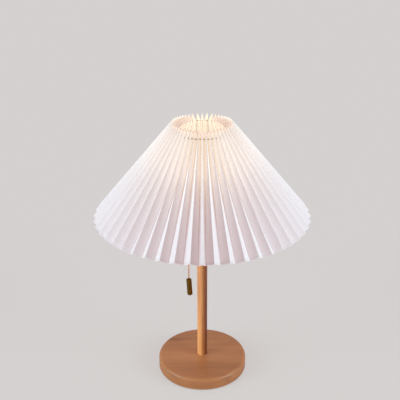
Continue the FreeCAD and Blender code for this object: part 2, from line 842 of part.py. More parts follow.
def make_bulb_cap():
    return tube(bulb_cap_r - bulb_cap_wall, bulb_cap_r, cap_z, cap_top_z)


def globe_outline(inset):
    """Half outline of the glass: crown, round belly, drawn-in neck."""
    r = bulb_r - inset
    neck = bulb_neck_r - inset
    low = math.radians(-bulb_belly_angle)
    belly_end = vec(r * math.cos(low), 0, globe_z + r * math.sin(low))
    belly_tangent = vec(math.sin(low), 0, -math.cos(low))
    neck_top = vec(neck, 0, cap_top_z + bulb_neck_h)
    curve = Part.BezierCurve()
    curve.setPoles([belly_end, belly_end + belly_tangent * bulb_belly_handle,
                    neck_top + Z * bulb_neck_handle, neck_top])
    half = math.radians(30)
    belly_top = vec(r * math.cos(half), 0, globe_z + r * math.sin(half))
    return [
        arc(vec(0, 0, globe_z + r), belly_top, belly_end),
        curve.toShape(),
        line(neck_top, vec(neck, 0, glass_foot_z)),
    ]


def make_bulb_glass():
    """Blown envelope, open at the foot, standing in the cap."""
    outer = globe_outline(0)
    inner = globe_outline(bulb_glass_t)
    crown = line(vec(0, 0, globe_z + bulb_r - bulb_glass_t), vec(0, 0, globe_z + bulb_r))
    foot = line(vec(bulb_neck_r, 0, glass_foot_z), vec(bulb_neck_r - bulb_glass_t, 0, glass_foot_z))
    edges = outer + [foot] + inner[::-1] + [crown]
    return turned_wire(Part.__sortEdges__(edges))


def make_bulb_stem():
    """Glass stem flared onto the inside of the neck."""
    flare_r = bulb_neck_r - bulb_glass_t - bulb_stem_gap
    base_z = glass_foot_z + bulb_flare_above_plug
    return turned([
        (0, base_z),
        (flare_r, base_z),
        (flare_r, base_z + bulb_flare_t),
        (bulb_stem_r, base_z + bulb_flare_h),
        (bulb_stem_r, stem_tip_z - bulb_stem_tip_h),
        (bulb_stem_tip_r, stem_tip_z),
        (0, stem_tip_z),
    ])


def make_bulb_filaments():
    """Straight rods that lean outwards, on leads from the stem."""
    foot_z = stem_tip_z - filament_below_tip
    rods = []
    for k in range(filament_count):
        a = math.radians(360.0 * (k + 0.5) / filament_count)
        out = vec(math.cos(a), math.sin(a), 0)
        foot = out * filament_foot_r + Z * foot_z
        head = out * filament_head_r + Z * (foot_z + filament_len)
        rod = Part.makeCylinder(filament_d / 2, (head - foot).Length, foot, head - foot)
        lead = Part.makeCylinder(filament_lead_d / 2, filament_foot_r, Z * foot_z, out)
        rods.append(rod.fuse(lead))
    joined = rods[0].fuse(rods[1:])
    return joined.cut(make_bulb_stem())


# ---------------------------------------------------------------- export
os.makedirs("parts", exist_ok=True)
save("base_disc", make_base_disc())
save("base_weight", make_base_weight())
save("weight_screws", make_weight_screws())
save("base_pad", make_base_pad())
save("cord_inlet_bush", make_cord_inlet_bush())
save("stem", make_stem())
save("lamp_pipe", make_lamp_pipe())
save("lower_pipe_nut", pipe_nut(lower_nut_z))
save("lower_washer", make_lower_washer())
save("stem_check_ring", make_stem_check_ring())
save("holder_cup", make_holder_cup())
save("upper_pipe_nut", pipe_nut(upper_nut_z))
save("holder_shell", make_holder_shell())
save("holder_liner", make_holder_liner())
save("switch_body", make_switch_body())
save("terminal_screws", make_terminal_screws())
save("screw_shell", make_screw_shell())
save("centre_contact", make_centre_contact())
save("shade_ring", make_shade_ring())
save("chain_guide", make_chain_guide())
save("switch_axle", make_switch_axle())
save("switch_lever", make_switch_lever())
save("switch_rotor", make_switch_rotor())
save("lever_spring", make_lever_spring())
save("inner_chain", make_inner_chain())
save("chain_top", make_chain_top())
save("chain_strand", make_chain_strand())
save("chain_pull_bar", make_chain_pull())
save("carrier_fitter", make_carrier_fitter())
save("carrier_arms", make_carrier_arms())
save("carrier_ring", make_carrier_ring())
save("shade_sheet", make_shade_sheet())
save("neck_string", make_neck_string())
save("bulb_contact", make_bulb_contact())
save("bulb_insulator", make_bulb_insulator())
save("bulb_cap", make_bulb_cap())
save("bulb_glass", make_bulb_glass())
save("bulb_stem", make_bulb_stem())
save("bulb_filaments", make_bulb_filaments())
rim_edge = [fold_ends(fold, 0)[0] for fold in fold_list()]
neck_edge = [fold_ends(fold, 0)[1] for fold in fold_list()]
for name, edge in (("rim", rim_edge), ("neck", neck_edge)):
    length = sum((b - a).Length for a, b in zip(edge, edge[1:] + edge[:1]))
    print("sheet, flat length of its", name, "edge", round(length), "mm")
print("sheet, flat height", round((neck_edge[1] - rim_edge[1]).Length), "mm")
print("carrier ring height", round(carrier_ring_z, 2), "string", round(string_r, 2), round(string_z, 2))
print("chain hangs from", round(hang_z, 2), "pull bead", round(pull_bead_z, 2))
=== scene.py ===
# %% [markdown]
# # Dressing a pleated paper table lamp
#
# The lamp is a cone of pleated paper over a bulb, a pull-chain lampholder and a round wooden
# stem on a turned base.  Its construction comes in as a finished frame of solids.  This lesson
# gives those solids their finishes, and builds again in finer mesh what a solid can't show:
# the paper with its creases, and the twisted drawstring.

# %% Load the frame
import math
import random

import bmesh
import bpy
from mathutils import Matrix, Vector


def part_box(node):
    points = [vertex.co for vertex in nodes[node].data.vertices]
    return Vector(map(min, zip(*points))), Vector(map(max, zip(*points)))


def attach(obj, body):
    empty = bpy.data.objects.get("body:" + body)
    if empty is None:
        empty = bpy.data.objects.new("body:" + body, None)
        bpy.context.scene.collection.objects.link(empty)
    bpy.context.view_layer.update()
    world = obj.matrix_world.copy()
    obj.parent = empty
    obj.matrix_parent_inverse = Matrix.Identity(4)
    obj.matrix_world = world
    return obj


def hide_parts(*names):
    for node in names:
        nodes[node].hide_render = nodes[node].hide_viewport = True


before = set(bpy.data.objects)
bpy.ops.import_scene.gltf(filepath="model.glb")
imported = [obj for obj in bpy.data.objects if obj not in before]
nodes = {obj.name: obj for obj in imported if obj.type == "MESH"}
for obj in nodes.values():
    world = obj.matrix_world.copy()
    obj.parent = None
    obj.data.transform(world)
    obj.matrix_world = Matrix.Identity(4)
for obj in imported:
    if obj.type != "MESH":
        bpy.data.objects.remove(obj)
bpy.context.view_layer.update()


def add(name, data):
    """A new object in the scene."""
    made = bpy.data.objects.new(name, data)
    bpy.context.scene.collection.objects.link(made)
    return made


# %% [markdown]
# ## The camera
#
# The photograph was taken from about 1.2 m away and from above, with the lamp's axis just right
# of the middle.  A camera can be moved about until the picture looks right.  Here its distance,
# height and tilt were worked out from the shade instead: the spacing of the pleats gives the
# perspective, and the neck's ellipse gives the tilt.  The shifts slide the picture in its frame
# and leave the view as it is.  A camera that looks along +Y is turned by 90 degrees about X,
# less the tilt.

# %% Camera
picture_px = 400
focal_px = 688.3
axis_px = 202.25            # column of the lamp's axis in the picture
lens_row_px = 199.0         # row of the lens axis
sensor_mm = 36.0
camera_distance = 1.1328
camera_height = 0.8387
camera_tilt = math.radians(23.12)

camera = add("camera", bpy.data.cameras.new("camera"))
bpy.context.scene.camera = camera
camera.data.sensor_width = sensor_mm
camera.data.lens = focal_px / picture_px * sensor_mm
camera.data.shift_x = (picture_px / 2 - axis_px) / picture_px
camera.data.shift_y = (lens_row_px - picture_px / 2) / picture_px
camera.location = (0, -camera_distance, camera_height)
camera.rotation_euler = (math.pi / 2 - camera_tilt, 0, 0)
print("lens:", round(camera.data.lens, 2), "mm")

# %% [markdown]
# ## Writing shader maths as expressions
#
# A node tree is easier to read as a formula.  `Wire` wraps one output socket, and its operators
# add the nodes: two numbers make a Math node, a vector makes a Vector Math node, and a colour
# goes through Mix, because a Math node would turn it grey.

# %% Wire
def kind_of(value):
    if isinstance(value, Wire):
        return value.socket.type
    return "VALUE" if isinstance(value, (int, float)) else "VECTOR"


class Wire:
    """An output socket that takes part in arithmetic."""

    def __init__(self, maker, socket):
        self.maker = maker
        self.socket = socket

    def combine(self, operation, other, flipped=False):
        pair = (other, self) if flipped else (self, other)
        kinds = {kind_of(value) for value in pair}
        if "RGBA" in kinds:
            return self.maker.mix(1.0, *pair, blend=operation)
        kind = "VectorMath" if "VECTOR" in kinds else "Math"
        return self.maker.node(kind, {"operation": operation}, {0: pair[0], 1: pair[1]})

    def __add__(self, other):
        return self.combine("ADD", other)

    def __radd__(self, other):
        return self.combine("ADD", other, flipped=True)

    def __sub__(self, other):
        return self.combine("SUBTRACT", other)

    def __rsub__(self, other):
        return self.combine("SUBTRACT", other, flipped=True)

    def __mul__(self, other):
        return self.combine("MULTIPLY", other)

    def __rmul__(self, other):
        return self.combine("MULTIPLY", other, flipped=True)

    def __truediv__(self, other):
        return self.combine("DIVIDE", other)

    def __rtruediv__(self, other):
        return self.combine("DIVIDE", other, flipped=True)

    def __pow__(self, other):
        return self.combine("POWER", other)


# %% [markdown]
# The world has a node tree as a material has, so what both need stands in one class.  `node`
# makes any node from its type, its settings, and the values or links of its sockets.  The
# settings come first, because some of them change which sockets a node has.

# %% Node tree
class NodeTree:
    """The nodes of a material or a world."""

    def __init__(self, owner):
        owner.use_nodes = True
        self.tree = owner.node_tree
        self.tree.nodes.clear()

    def node(self, kind, settings, sockets, output=0):
        made = self.tree.nodes.new("ShaderNode" + kind)
        for name, value in settings.items():
            if name == "stops":
                self.set_stops(made.color_ramp, value)
            else:
                setattr(made, name, value)
        for name, value in sockets.items():
            self.feed(made.inputs[name], value)
        return Wire(self, made.outputs[output]) if made.outputs else None

    def feed(self, socket, value):
        if isinstance(value, Wire):
            self.tree.links.new(value.socket, socket)
        elif socket.type == "RGBA" and len(value) == 3:
            socket.default_value = (*value, 1.0)
        else:
            socket.default_value = value

    @staticmethod
    def set_stops(ramp, stops):
        while len(ramp.elements) < len(stops):
            ramp.elements.new(0.5)
        for element, (position, level) in zip(ramp.elements, stops):
            element.position = position
            element.color = (level, level, level, 1.0)

    def mix(self, factor, a, b, blend="MIX"):
        """Colours only.  Sockets 6 and 7 and result 2 are the Mix node's colour ones."""
        settings = {"data_type": "RGBA", "blend_type": blend}
        return self.node("Mix", settings, {0: factor, 6: a, 7: b}, 2)


# %% [markdown]
# A finish is a material with short names for the nodes that are used most.
#
# Some finishes here glow.  Cycles would take each glowing face for a lamp and spend its samples
# on thousands of them, which leaves noise on the paper.  The real lamps light this scene, so
# every finish is kept out of that sampling; a ray that happens to meet it still sees its glow.

# %% Finish
class Finish(NodeTree):
    """A material whose nodes are written as expressions."""

    def __init__(self, name):
        self.material = bpy.data.materials.new(name)
        self.material.cycles.emission_sampling = "NONE"
        super().__init__(self.material)
        self.place = self.node("TexCoord", {}, {}, "Object")

    def ramp(self, value, *stops):
        return self.node("ValToRGB", {"stops": stops}, {"Fac": value})

    def between(self, value, low, high):
        """0 below low, 1 above high, a smooth step in between."""
        settings = {"interpolation_type": "SMOOTHSTEP"}
        return self.node("MapRange", settings, {"Value": value, "From Min": low, "From Max": high})

    def noise(self, scale, detail=3.0, roughness=0.5, stretch=(1, 1, 1)):
        """Stretch divides the pattern's frequency along each axis."""
        place = self.place * tuple(1 / s for s in stretch)
        sockets = {"Vector": place, "Scale": scale, "Detail": detail, "Roughness": roughness}
        return self.node("TexNoise", {}, sockets, "Fac")

    def bump(self, height, distance, strength=1.0, normal=None):
        sockets = {"Height": height, "Distance": distance, "Strength": strength}
        if normal:
            sockets["Normal"] = normal
        return self.node("Bump", {}, sockets, "Normal")

    def surface(self, **sockets):
        """Closes the material with a Principled shader; underscores in names stand for spaces."""
        named = {name.replace("_", " "): value for name, value in sockets.items()}
        shader = self.node("BsdfPrincipled", {}, named)
        self.node("OutputMaterial", {}, {"Surface": shader})
        return self.material


# %% [markdown]
# Most solids of the frame keep their shape and only get a finish.  That could be one long table
# of names.  As a decorator, `wear` puts the names right above the finish that they get.

# %% Helpers for finishes
def wear(*names):
    """A decorator: the finish that the function makes goes on these nodes."""
    def put(make):
        material = make()
        for name in names:
            nodes[name].data.materials.clear()
            nodes[name].data.materials.append(material)
        print(material.name, "on", ", ".join(names))
        return material
    return put


def dimmed(colour, share):
    return tuple(share * c for c in colour)


# %% [markdown]
# ## The floor
#
# The lamp stands on a plain pale floor that runs on into the background.  A backdrop that
# curves up behind the lamp would hide the horizon from the front, but not from every side.  So
# a part of what the camera sees of the floor is a plain colour without light or shadow.  It is
# chosen so that the whole comes out as the background does, and the ground still holds the
# lamp's shadow.

# %% Floor
pale = (0.74, 0.72, 0.71)
plain_colour = (0.728, 0.732, 0.713)    # with the lit share it comes out as the backdrop's
shown_plain = 0.6           # share of the floor that the camera sees without light or shadow
floor_reach = 30.0


def plain_floor():
    f = Finish("pale_floor")
    colour = f.mix(f.noise(40.0), pale, dimmed(pale, 0.985))
    lit = f.node("BsdfDiffuse", {}, {"Color": colour})
    plain = f.node("Emission", {}, {"Color": plain_colour})
    seen = f.node("LightPath", {}, {}, "Is Camera Ray")
    both = f.node("MixShader", {}, {0: seen * shown_plain, 1: lit, 2: plain})
    f.node("OutputMaterial", {}, {"Surface": both})
    return f.material


floor_mesh = bpy.data.meshes.new("floor")
corners = [(x * floor_reach, y * floor_reach, 0)
           for x, y in ((-1, -1), (1, -1), (1, 1), (-1, 1))]
floor_mesh.from_pydata(corners, [], [(0, 1, 2, 3)])
floor_mesh.materials.append(plain_floor())
floor = add("floor", floor_mesh)
print("floor:", 2 * floor_reach, "m wide")

# %% [markdown]
# ## The world
#
# In the photograph the faces that look at the shade's middle are in a mauve shade.  A picture
# of a room could give that tint, but a single colour is enough, and it is the same from all
# sides, so the world's fill light has that colour.  The camera, a reflection and a ray through
# glass meet the pale backdrop in its place.

# %% World
fill_colour = (1.0, 0.71, 0.72)
fill_strength = 0.555
backdrop_colour = (0.665, 0.645, 0.640)

world = bpy.data.worlds.new("studio")
bpy.context.scene.world = world
bpy.context.scene.view_settings.view_transform = "Standard"
sky = NodeTree(world)
seen, mirrored, through_glass = (sky.node("LightPath", {}, {}, "Is " + ray + " Ray")
                                 for ray in ("Camera", "Glossy", "Transmission"))
shown = seen.combine("MAXIMUM", mirrored).combine("MAXIMUM", through_glass)
fill = sky.node("Background", {}, {"Color": fill_colour, "Strength": fill_strength})
backdrop = sky.node("Background", {}, {"Color": backdrop_colour})
chosen = sky.node("MixShader", {}, {0: shown, 1: fill, 2: backdrop})
sky.node("OutputWorld", {}, {"Surface": chosen})
print("world fill:", fill_strength)

# %% [markdown]
# ## The lights
#
# The pleats' outward faces are bright in the photograph, with soft edges to their shade.  Two
# wide low lights at the lamp's sides do that.  Area lamps could stand there, but their light
# falls off along the lamp.  A sun lamp with a wide disc is as soft and lights the rim, the neck
# and the base alike.  The third light is the stem's own, and is linked to it further down.

# %% Lights
def side_light(name, azimuth, elevation, strength, colour, softness):
    """A sun whose disc is softness degrees wide; azimuth 0 is at the camera, 90 at +X."""
    light = bpy.data.lights.new(name, "SUN")
    light.angle = math.radians(softness)
    light.energy = strength
    light.color = colour
    a = math.radians(azimuth)
    e = math.radians(elevation)
    towards = Vector((math.sin(a) * math.cos(e), -math.cos(a) * math.cos(e), math.sin(e)))
    lamp = add(name, light)
    lamp.rotation_euler = towards.to_track_quat("Z", "Y").to_euler()
    print(name, "at azimuth", azimuth, "elevation", elevation, "strength", strength)
    return lamp


key = {"elevation": 16, "strength": 1.87, "colour": (0.64, 0.89, 0.965), "softness": 35}
side_lights = {
    "left": side_light("left_light", azimuth=-66, **key),
    "right": side_light("right_light", azimuth=66, **key),
    "stem": side_light("stem_light", azimuth=-58, elevation=4, strength=5.0,
                       colour=(0.82, 1.15, 1.55), softness=14),
}

# %% [markdown]
# ## The lit bulb
#
# The bulb is on.  A glowing glass alone could light the shade from inside, but only with much
# noise.  A small point light at the middle of the glass does it cleanly, so that the inside of
# the shade, the carrier and the top of the stem get the bulb's warm light.  The light is kept
# smaller than the glass, which glows by its own material, and the bulb's pieces round it cast
# no shadow.

# %% Bulb light
warm = (1.0, 0.80, 0.54)
bulb_power = 0.07
bulb_light_r = 0.02
glass_top_to_middle = 0.030     # from the top of the glass to the middle of its round part
glow_centre = Vector((0, 0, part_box("bulb_glass")[1].z - glass_top_to_middle))

light = bpy.data.lights.new("bulb_light", "POINT")
light.energy = bulb_power
light.color = warm
light.shadow_soft_size = bulb_light_r
add("bulb_light", light).location = glow_centre
for name in ("bulb_glass", "bulb_stem", "bulb_filaments"):
    nodes[name].visible_shadow = False
print("bulb light at", [round(v, 4) for v in glow_centre])

# %% [markdown]
# ## The pleated paper
#
# The real sheet is a long strip, folded to and fro into equal panels and gathered to a cone.  A
# smooth cone with a zigzag relief would be the quickest model, and a simulation could gather a
# flat strip.  But a panel is equally wide at the rim and at the neck, so the pleats are shallow
# at the wide rim and deep at the narrow neck, and the whole shape follows from that.  Modelling
# starts from the same rule: each fold is a straight line from rim to neck, its depth under the
# cone of the outer folds is what lets a panel span half a pitch, and the panels are strips
# between neighbouring folds.

# %% Sizes of the paper cone
rim_r = 0.195
neck_r = 0.0525
neck_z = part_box("shade_sheet")[1].z
shade_h = 0.172
rim_z = neck_z - shade_h
pleats_per_half = 24
panel_w = 0.0165
paper_t = 0.0003
seam_half_rim = 1.86        # degrees to each side of a seam
seam_half_neck = 3.6
back_folds_neck = (159.7, 165.2, 170.3, 175.4)      # the last pleats before the back seam gape
seam_share_rim = 0.5        # how far the seam's middle stands out, as a share of a pleat
seam_share_neck = 1.0
slant = math.hypot(rim_r - neck_r, shade_h)
inward = Vector((-shade_h / slant, -(rim_r - neck_r) / slant))      # square to the cone: out, up
print("slant height:", round(slant, 4), "m")


# %% One fold's two ends
def pleat_depth(ridge_r, half_pitch):
    """How deep an inner fold lies, so that a full panel spans half a pitch."""
    rise = 1 - math.cos(math.radians(half_pitch))
    b = -ridge_r * inward[0] * rise
    return b + math.sqrt(b * b + panel_w ** 2 - 2 * ridge_r ** 2 * rise)


def on_fold(degrees, depth, ridge_r, ridge_z):
    """The point at this depth under the cone.  Angle 0 is the front, -Y."""
    a = math.radians(degrees)
    r = ridge_r + inward[0] * depth
    return Vector((r * math.sin(a), -r * math.cos(a), ridge_z + inward[1] * depth))


pitch_rim = (180 - 2 * seam_half_rim) / pleats_per_half
regular_folds = 2 * pleats_per_half + 1 - len(back_folds_neck)
pitch_neck = 2 * (back_folds_neck[0] - seam_half_neck) / regular_folds
neck_angles = [seam_half_neck + k * pitch_neck / 2 for k in range(regular_folds)]
neck_angles += back_folds_neck
depth_rim = pleat_depth(rim_r, pitch_rim / 2)
depth_neck = pleat_depth(neck_r, pitch_neck / 2)
print("pleat depth:", round(depth_rim, 4), "at the rim,", round(depth_neck, 4), "at the neck")

# %% [markdown]
# Folded paper is never perfect.  Each fold gets a small seeded wander in angle and depth, and a
# bow halfway up, all under a millimetre, so the pleats look folded by hand and machine and not
# drawn.  The depth wanders outwards only, since the wire ring that carries the paper touches it
# from inside.  At the neck the drawstring gathers the pleats closely, but it can't close up the
# stiff glued seam at the back, and the pleats beside it gape.

# %% A fold with its small wander
chance = random.Random(11)
angle_wander = 0.10         # degrees
depth_wander = 0.0004
bow_wander = 0.0007


class Fold:
    """A line from rim to neck."""

    def __init__(self, rim_angle, rim_depth, neck_angle, neck_depth, inner):
        self.rim_angle = rim_angle + chance.uniform(-angle_wander, angle_wander)
        self.rim_depth = rim_depth - chance.uniform(0, depth_wander) * (rim_depth > 0)
        self.neck_angle = neck_angle + chance.uniform(-angle_wander, angle_wander)
        self.neck_depth = neck_depth
        self.inner = inner
        self.bow = chance.uniform(-bow_wander, bow_wander)

    def point(self, share):
        """The place at this share of the way up."""
        low = on_fold(self.rim_angle, self.rim_depth, rim_r, rim_z)
        high = on_fold(self.neck_angle, self.neck_depth, neck_r, neck_z)
        place = low.lerp(high, share)
        sideways = Vector((-place.y, place.x, 0)).normalized()
        return place + sideways * self.bow * math.sin(math.pi * share)


# %% All folds
def all_folds():
    """Round the lamp from the front seam: the right half, the back seam, the left half."""
    made = []
    for side in (0, 180):
        made.append(Fold(side, depth_rim * (1 - seam_share_rim),
                         side, depth_neck * (1 - seam_share_neck), False))
        for k in range(2 * pleats_per_half + 1):
            inner = k % 2 == 0
            rim_angle = side + seam_half_rim + k * pitch_rim / 2
            neck_angle = 360 - neck_angles[-1 - k] if side else neck_angles[k]
            made.append(Fold(rim_angle, depth_rim * inner, neck_angle, depth_neck * inner, inner))
    return made


folds = all_folds()
print("folds:", len(folds))

# %% [markdown]
# The mesh is a grid: rows run round the lamp and columns go up the slant.  Across a panel the
# columns crowd towards the folds, so that smooth shading stays flat in the panel and turns only
# within about half a millimetre of the crease.  Solidify then gives the paper its thickness.
# Each point also notes where on the paper it lies, as hints for the finish.

# %% A point of the grid
across = (0.0, 0.035, 0.12, 0.5, 0.88, 0.965)   # shares of a panel's width
crease_round = 0.00018                          # how far a crease is rounded off


def grid_point(points, k, s, belly):
    """The place at share s of the way from fold k to the next."""
    a = points[k % len(folds)]
    b = points[(k + 1) % len(folds)]
    if s == 0:
        pull = (points[k - 1] + b) / 2 - a
        return a + pull.normalized() * crease_round
    out = (b - a).cross(Vector((0, 0, 1))).normalized()
    return a.lerp(b, s) + out * belly * math.sin(math.pi * s)


# %% Pleated grid
panel_belly = 0.00035       # how far a panel may bulge
rows_up = 28
hints = ("crease", "valley", "upward")


def pleated_half(side, first):
    """One of the two glued strips, from a seam's middle to the other seam's."""
    mesh = bpy.data.meshes.new("pleated_paper_" + side)
    build = bmesh.new()
    crease, valley, upward = (build.verts.layers.float.new(hint) for hint in hints)
    half = len(folds) // 2
    bellies = [chance.uniform(-panel_belly, panel_belly) for _ in range(half)]
    columns = [(first + n, s, belly) for n, belly in enumerate(bellies) for s in across]
    columns.append((first + half, 0.0, 0.0))
    grid = []
    for j in range(rows_up + 1):
        points = [fold.point(j / rows_up) for fold in folds]
        row = []
        for k, s, belly in columns:
            here = folds[k % len(folds)]
            ahead = folds[(k + 1) % len(folds)]
            vert = build.verts.new(grid_point(points, k, s, belly))
            vert[crease] = float(s == 0)
            vert[valley] = (1 - s) * here.inner + s * ahead.inner
            vert[upward] = j / rows_up
            row.append(vert)
        grid.append(row)
    for low, high in zip(grid, grid[1:]):
        for m in range(len(low) - 1):
            build.faces.new((low[m], low[m + 1], high[m + 1], high[m]))
    for face in build.faces:
        face.smooth = True
    build.to_mesh(mesh)
    build.free()
    return add("pleated_paper_" + side, mesh)


paper = {"right": pleated_half("right", 0), "left": pleated_half("left", len(folds) // 2)}
for sheet in paper.values():
    thick = sheet.modifiers.new("paper thickness", "SOLIDIFY")
    thick.thickness = paper_t
    thick.offset = -1
    thick.use_even_offset = True
    print(sheet.name, len(sheet.data.vertices), "points before its thickness")

# %% [markdown]
# ## How the paper looks
#
# White matt paper lets a part of the bulb's light through.  A translucent shader would need
# many samples in so many folds, so the glow is worked out instead: it falls with the cube of
# the distance to the bulb, since a far panel is also met at a steeper slant.  Clouds in the
# paper vary it a little, and a crease lets less through.

# %% Light through the paper
glow_colour = (1.0, 0.87, 0.56)
glow_near = 0.095           # distance from the bulb at which the glow is full
glow_power = 3.0
cloud_share = 0.14          # how much the clouds vary the glow
crease_dim = 0.25
inner_side_dim = 0.45       # the inner side is lit by the bulb itself, so its own glow is less
black = (0.0, 0.0, 0.0)


def faces_inwards(f):
    """1 on the side of the paper that looks at the lamp's axis."""
    radial = f.node("VectorMath", {"operation": "NORMALIZE"}, {0: f.place * (1, 1, 0)})
    normal = f.node("TexCoord", {}, {}, "Normal")
    outward = f.node("VectorMath", {"operation": "DOT_PRODUCT"}, {0: normal, 1: radial}, "Value")
    return 1 - f.between(outward, -0.05, 0.05)


def light_through(f, clouds, crease, inner_side):
    to_bulb = tuple(glow_centre) - f.place
    distance = f.node("VectorMath", {"operation": "LENGTH"}, {0: to_bulb}, "Value")
    falloff = (glow_near / distance) ** glow_power
    clouded = 1 - cloud_share / 2 + cloud_share * clouds
    kept = falloff * clouded * (1 - crease_dim * crease) * (1 - inner_side_dim * inner_side)
    return f.mix(kept, black, glow_colour)


# %% [markdown]
# The grid's hints do the rest, as painted light and shade.  "crease" is 1 on a fold's line.
# "valley" is 1 in an inner fold: the light that bounces between two panels is warmest there, and
# the fold's line gets a painted shade.  "upward" runs from 0 at the rim, where the cut edge
# catches light, to 1 at the neck, where the pleats' inner sides show and are lit from below.  An
# image painted on the paper could hold all this too, but the hints keep to the folds however they
# lie.

# %% Paper finish
paper_white = (0.93, 0.92, 0.93)
glow_strength = 0.166
# Painted light added to the glow: a warm bounce in the valleys, the cut edge at the rim, a bright
# band inside the neck's edge, and the lit backs of the inner folds.
bounce_colour = (0.20, 0.07, 0.06)
edge_light_colour = (0.7, 0.4, 0.4)
edge_fade = (0.004, 0.007)  # share of the way up over which the cut edge's light ends
band_light_colour = (2.2, 1.75, 1.05)
band_rise = (0.88, 0.97)    # and over which the bright band inside the neck's edge begins
wall_light_colour = (0.42, 0.30, 0.28)
wall_rise = (0.6, 0.8)      # and over which the light on the backs of inner folds begins
wall_folds = (0.4, 0.9)     # where that light begins across a panel
# A painted shade darkens the line of each inner fold, in this colour and to this share.
valley_shade_share = 0.8
valley_shade_colour = (0.68, 0.64, 0.66)


def paper_finish():
    f = Finish("pleated_white_paper")
    crease, valley, upward = (f.node("Attribute", {"attribute_name": hint}, {}, "Fac")
                              for hint in hints)
    clouds = f.noise(70.0, detail=4.0, roughness=0.6)
    fibres = f.noise(1500.0, detail=3.0, roughness=0.7)
    inner_side = faces_inwards(f)
    light = light_through(f, clouds, crease, inner_side)
    # Painted light on top of the glow: valleys, cut edge, the band inside the neck, backs of
    # folds.
    light += f.mix(valley * valley, black, bounce_colour)
    light += f.mix(1 - f.between(upward, *edge_fade), black, edge_light_colour)
    light += f.mix(inner_side * (1 - valley) * f.between(upward, *band_rise), black, band_light_colour)
    wall = inner_side * f.between(valley, *wall_folds) * f.between(upward, *wall_rise)
    light += f.mix(wall, black, wall_light_colour)
    # The clouds vary the white a little at random, and a painted shade darkens it along the
    # creases.
    colour = f.mix(0.5 * clouds + 0.25 * crease, paper_white, dimmed(paper_white, 0.96))
    # Painted shade: the line of each inner fold is darkened.
    colour = f.mix(valley_shade_share * f.between(valley, 0.90, 1.0), colour, valley_shade_colour)
    relief = f.bump(fibres, distance=0.00004, strength=0.4,
                    normal=f.bump(clouds, distance=0.00008, strength=0.3))
    return f.surface(Base_Color=colour, Roughness=0.85, Specular_IOR_Level=0.25, Normal=relief,
                     Emission_Color=light, Emission_Strength=glow_strength)


# %% [markdown]
# The real sheet is two strips of 25 pleats, glued together at the front and at the back.  Cut
# flat, a strip is as long as its panels side by side and as wide as the slant is high.

# %% The paper's finish and its body
paper_material = paper_finish()
for sheet in paper.values():
    sheet.data.materials.append(paper_material)
    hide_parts("shade_sheet")
    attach(sheet, "shade")

# %% [markdown]
# ## Each half has its own side light
#
# In the photograph each half of the shade is lit from its own side only, as if a black card
# stood between the two lights, and the stem and the chain are lit from the left, the stem
# strongly.  A real card in the scene would show in the brass and darken the floor.  Light
# linking does what the card does: a light's receiver collection lists what that light leaves
# out, or, for the stem's own light, the one piece that it lights.

# %% Light linking
def keep_off(light, name, pieces):
    left_out = bpy.data.collections.new(name)
    for piece in pieces:
        left_out.objects.link(piece)
    for entry in left_out.collection_objects:
        entry.light_linking.link_state = "EXCLUDE"
    light.light_linking.receiver_collection = left_out
    print(light.name, "leaves out", ", ".join(piece.name for piece in pieces))


stem = nodes["stem"]
chain = [nodes[name] for name in ("chain_top", "chain_strand", "chain_pull_bar")]
keep_off(side_lights["left"], "not_lit_from_left", [paper["right"]])
keep_off(side_lights["right"], "not_lit_from_right", [paper["left"], stem, *chain])
only_on = bpy.data.collections.new("lit_by_stem_light")
only_on.objects.link(stem)
side_lights["stem"].light_linking.receiver_collection = only_on
print(side_lights["stem"].name, "lights only", stem.name)

# %% [markdown]
# ## The drawstring
#
# A thin cotton string runs through the pleats just below the neck and gathers them.  A ring
# with a slanted relief would do from far off, but its outline would be smooth.  The real string
# is two yarns twisted together, so each yarn here is a helix round the string's own ring.

# %% Twisted string
string_low, string_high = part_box("neck_string")
string_d = string_high.z - string_low.z
string_r = (string_high.x - string_low.x - string_d) / 2
string_z = (string_high.z + string_low.z) / 2
yarn_r = 0.27 * string_d
yarn_off = 0.22 * string_d      # from the string's middle line to a yarn's
string_turns = 90
points_per_turn = 8


def yarn(phase):
    curve = bpy.data.curves.new("yarn", "CURVE")
    curve.dimensions = "3D"
    curve.bevel_depth = yarn_r
    curve.bevel_resolution = 1
    spline = curve.splines.new("POLY")
    count = string_turns * points_per_turn
    spline.points.add(count - 1)
    for k in range(count):
        a = 2 * math.pi * k / count
        twist = a * string_turns + phase
        r = string_r + yarn_off * math.cos(twist)
        z = string_z + yarn_off * math.sin(twist)
        spline.points[k].co = (r * math.cos(a), r * math.sin(a), z, 1)
    spline.use_cyclic_u = True
    return curve


def cotton_finish():
    f = Finish("twisted_cotton")
    fuzz = f.noise(2500.0, detail=3.0, roughness=0.7)
    # The grey-brown is the yarn's own colour darkened by a painted shade, for the holes it runs
    # through.
    colour = f.mix(fuzz, (0.38, 0.34, 0.30), (0.54, 0.49, 0.44))
    return f.surface(Base_Color=colour, Roughness=0.95, Specular_IOR_Level=0.1,
                     Normal=f.bump(fuzz, distance=0.0001))


cotton = cotton_finish()
for letter, phase in (("a", 0), ("b", math.pi)):
    strand = add("string_yarn_" + letter, yarn(phase))
    strand.data.materials.append(cotton)
    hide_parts("neck_string")
    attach(strand, "shade")
print("string ring:", round(string_r, 4), "m, at", round(string_z, 4))


# %% [markdown]
# ## Wood
#
# The stem is a turned dowel, so its grain runs along Z, and the base is cut from a plank, so
# its grain runs along X and shows as long flames on top.  A wave texture draws grain quickly,
# but as stripes that repeat.  A noise that is stretched lengthwise gives a figure that doesn't,
# and a finer one gives the pores.

# %% Wood finishes
streak_width = 0.12         # of the figure's range
streak_strength = 0.45
pore_strength = 0.22


